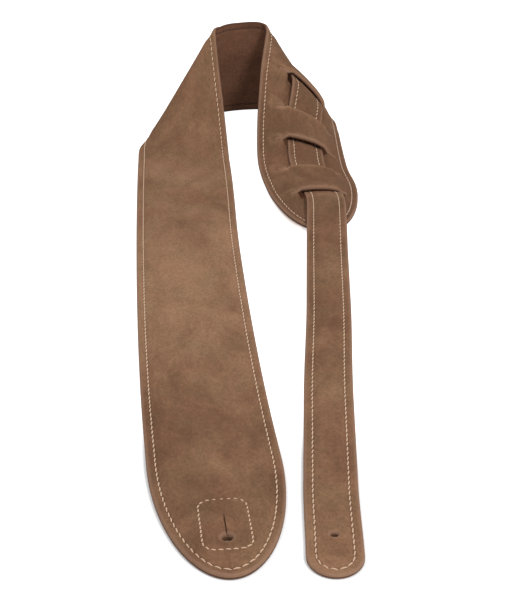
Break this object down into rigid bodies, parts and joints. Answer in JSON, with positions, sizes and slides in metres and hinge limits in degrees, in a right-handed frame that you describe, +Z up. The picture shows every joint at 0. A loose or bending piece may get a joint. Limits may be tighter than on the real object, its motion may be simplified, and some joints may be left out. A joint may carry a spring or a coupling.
{
  "type": "guitar strap",
  "caption": "Suede guitar strap: wide padded strap with a button hole and a slotted end, and a narrow tail woven through the slots to set its length.",
  "frame": {"origin": "centre of the wide end's button hole, on the surface that the strap lies on", "axes": "+Z up, +Y from the two free ends towards the loop, +X from the wide run towards the tail"},
  "size_m": [0.1493, 0.6062, 0.0666],
  "materials": {
    "suede": "napped suede",
    "backing_suede": "napped suede, darker",
    "padding": "matt felt",
    "tab_board": "stiff leather board",
    "webbing": "woven tape",
    "thread": "bonded polyester thread",
    "bobbin_thread": "bonded polyester thread, brown"
  },
  "bodies": {
    "main": {"main_face": "suede", "main_core": "padding", "main_backing": "backing_suede", "main_button_backing": "backing_suede", "main_button_tab": "tab_board", "main_needle_thread": "thread", "main_bobbin_thread": "bobbin_thread", "button_needle_thread": "thread", "button_bobbin_thread": "bobbin_thread"},
    "tail": {"tail_face": "suede", "tail_core": "webbing", "tail_backing": "backing_suede", "tail_button_backing": "backing_suede", "tail_button_tab": "tab_board", "tail_needle_thread": "thread", "tail_bobbin_thread": "bobbin_thread"}
  },
  "joints": [
    {"name": "tail_adjust", "type": "slide", "parent": "main", "child": "tail", "axis": [-0.031, -0.9995, 0], "range_m": [-0.02, 0.03], "deforming": ["tail_face", "tail_core", "tail_backing", "tail_button_backing", "tail_button_tab", "tail_needle_thread", "tail_bobbin_thread"]}
  ]
}
